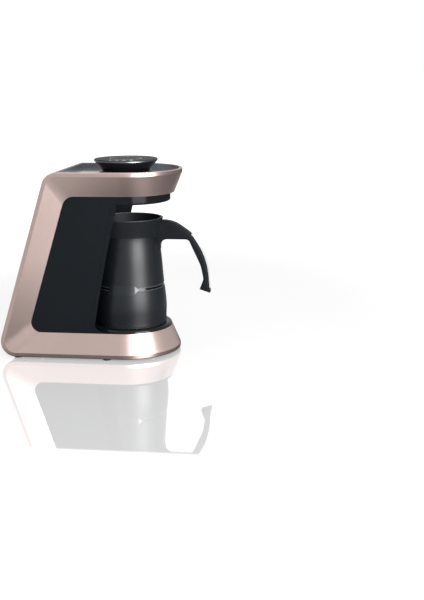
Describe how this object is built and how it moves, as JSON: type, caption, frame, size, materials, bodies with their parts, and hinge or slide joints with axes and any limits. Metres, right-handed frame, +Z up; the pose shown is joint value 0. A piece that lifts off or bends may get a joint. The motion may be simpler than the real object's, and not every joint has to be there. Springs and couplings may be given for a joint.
{
  "type": "electric turkish coffee maker",
  "caption": "Electric turkish coffee maker with a leaning C-shaped housing, a rotary selector on the head, a hotplate seat and a lift-out black pot with a flared rim and a hooked handle.",
  "frame": {"origin": "on the floor plane, under the centre of the overall footprint, the handle included", "axes": "+X to the machine's left as one faces its front, +Y towards the spine at the back, +Z up"},
  "size_m": [0.14, 0.2746, 0.262],
  "materials": {
    "rose_metal": "satin",
    "panel_black": "matte",
    "gloss_black": "gloss",
    "chrome": "polished",
    "dial_glass": "gloss",
    "pot_coating": "satin",
    "badge": "satin",
    "pot_steel": "brushed",
    "handle_black": "matte",
    "plate_grey": "satin",
    "steel": "satin",
    "element": "satin",
    "white_plastic": "matte",
    "board": "satin",
    "component": "matte",
    "copper": "satin",
    "sink": "satin",
    "lens": "gloss",
    "cover_black": "matte",
    "rubber": "matte",
    "wire": "matte",
    "ribbon": "matte"
  },
  "bodies": {
    "machine": {"outer_frame": "rose_metal", "side_panel_left": "panel_black", "side_panel_right": "panel_black", "bay_liner": "panel_black", "head_underside": "gloss_black", "top_tray": "gloss_black", "dial_trim_ring": "chrome", "dial_encoder": "component", "control_board": "board", "control_screws": "steel", "buzzer": "component", "sensor_window": "lens", "overflow_sensor": "component", "seat_ring": "gloss_black", "hotplate": "plate_grey", "heating_element": "element", "plate_studs": "steel", "heater_pan": "steel", "probe_guide": "steel", "probe_spring": "steel", "thermal_fuse": "white_plastic", "fuse_clip": "steel", "power_board": "board", "board_screws": "steel", "power_transformer": "copper", "heater_relay": "component", "filter_capacitor": "component", "terminal_block": "white_plastic", "heat_sink": "sink", "bottom_cover": "cover_black", "cover_screws": "steel", "rubber_feet": "rubber", "cord_gland": "cover_black", "mains_leads": "wire", "heater_leads": "wire", "control_cable": "ribbon"},
    "pot": {"pot_body": "pot_coating", "pot_badge": "badge", "pot_base": "pot_steel", "pot_collar": "handle_black", "pot_handle": "handle_black", "handle_strip": "chrome", "handle_screws": "steel"},
    "dial": {"dial_body": "gloss_black", "dial_ring": "chrome", "dial_face": "dial_glass", "encoder_shaft": "steel", "button_spring": "steel"},
    "button": {"start_button": "dial_glass"},
    "probe": {"temperature_probe": "steel"}
  },
  "joints": [
    {"name": "pot_draw", "type": "slide", "parent": "machine", "child": "pot", "axis": [0, -0.9914, 0.1305], "range_m": [0, 0.15]},
    {"name": "dial_turn", "type": "hinge", "parent": "machine", "child": "dial", "pos_m": [0, -0.02551, 0.25], "axis": [0, 0, 1], "range_deg": [-135, 135]},
    {"name": "start_press", "type": "slide", "parent": "dial", "child": "button", "axis": [0, 0, -1], "range_m": [0, 0.0012], "stiffness_N_per_m": 700, "springref_m": -0.0004, "deforming": ["button_spring"]},
    {"name": "probe_lift", "type": "slide", "parent": "machine", "child": "probe", "axis": [0, 0, 1], "range_m": [0, 0.0015], "deforming": ["probe_spring"]}
  ],
  "couplings": [
    {"joint": "probe_lift", "follows": "pot_draw", "ratio": 0.01}
  ]
}
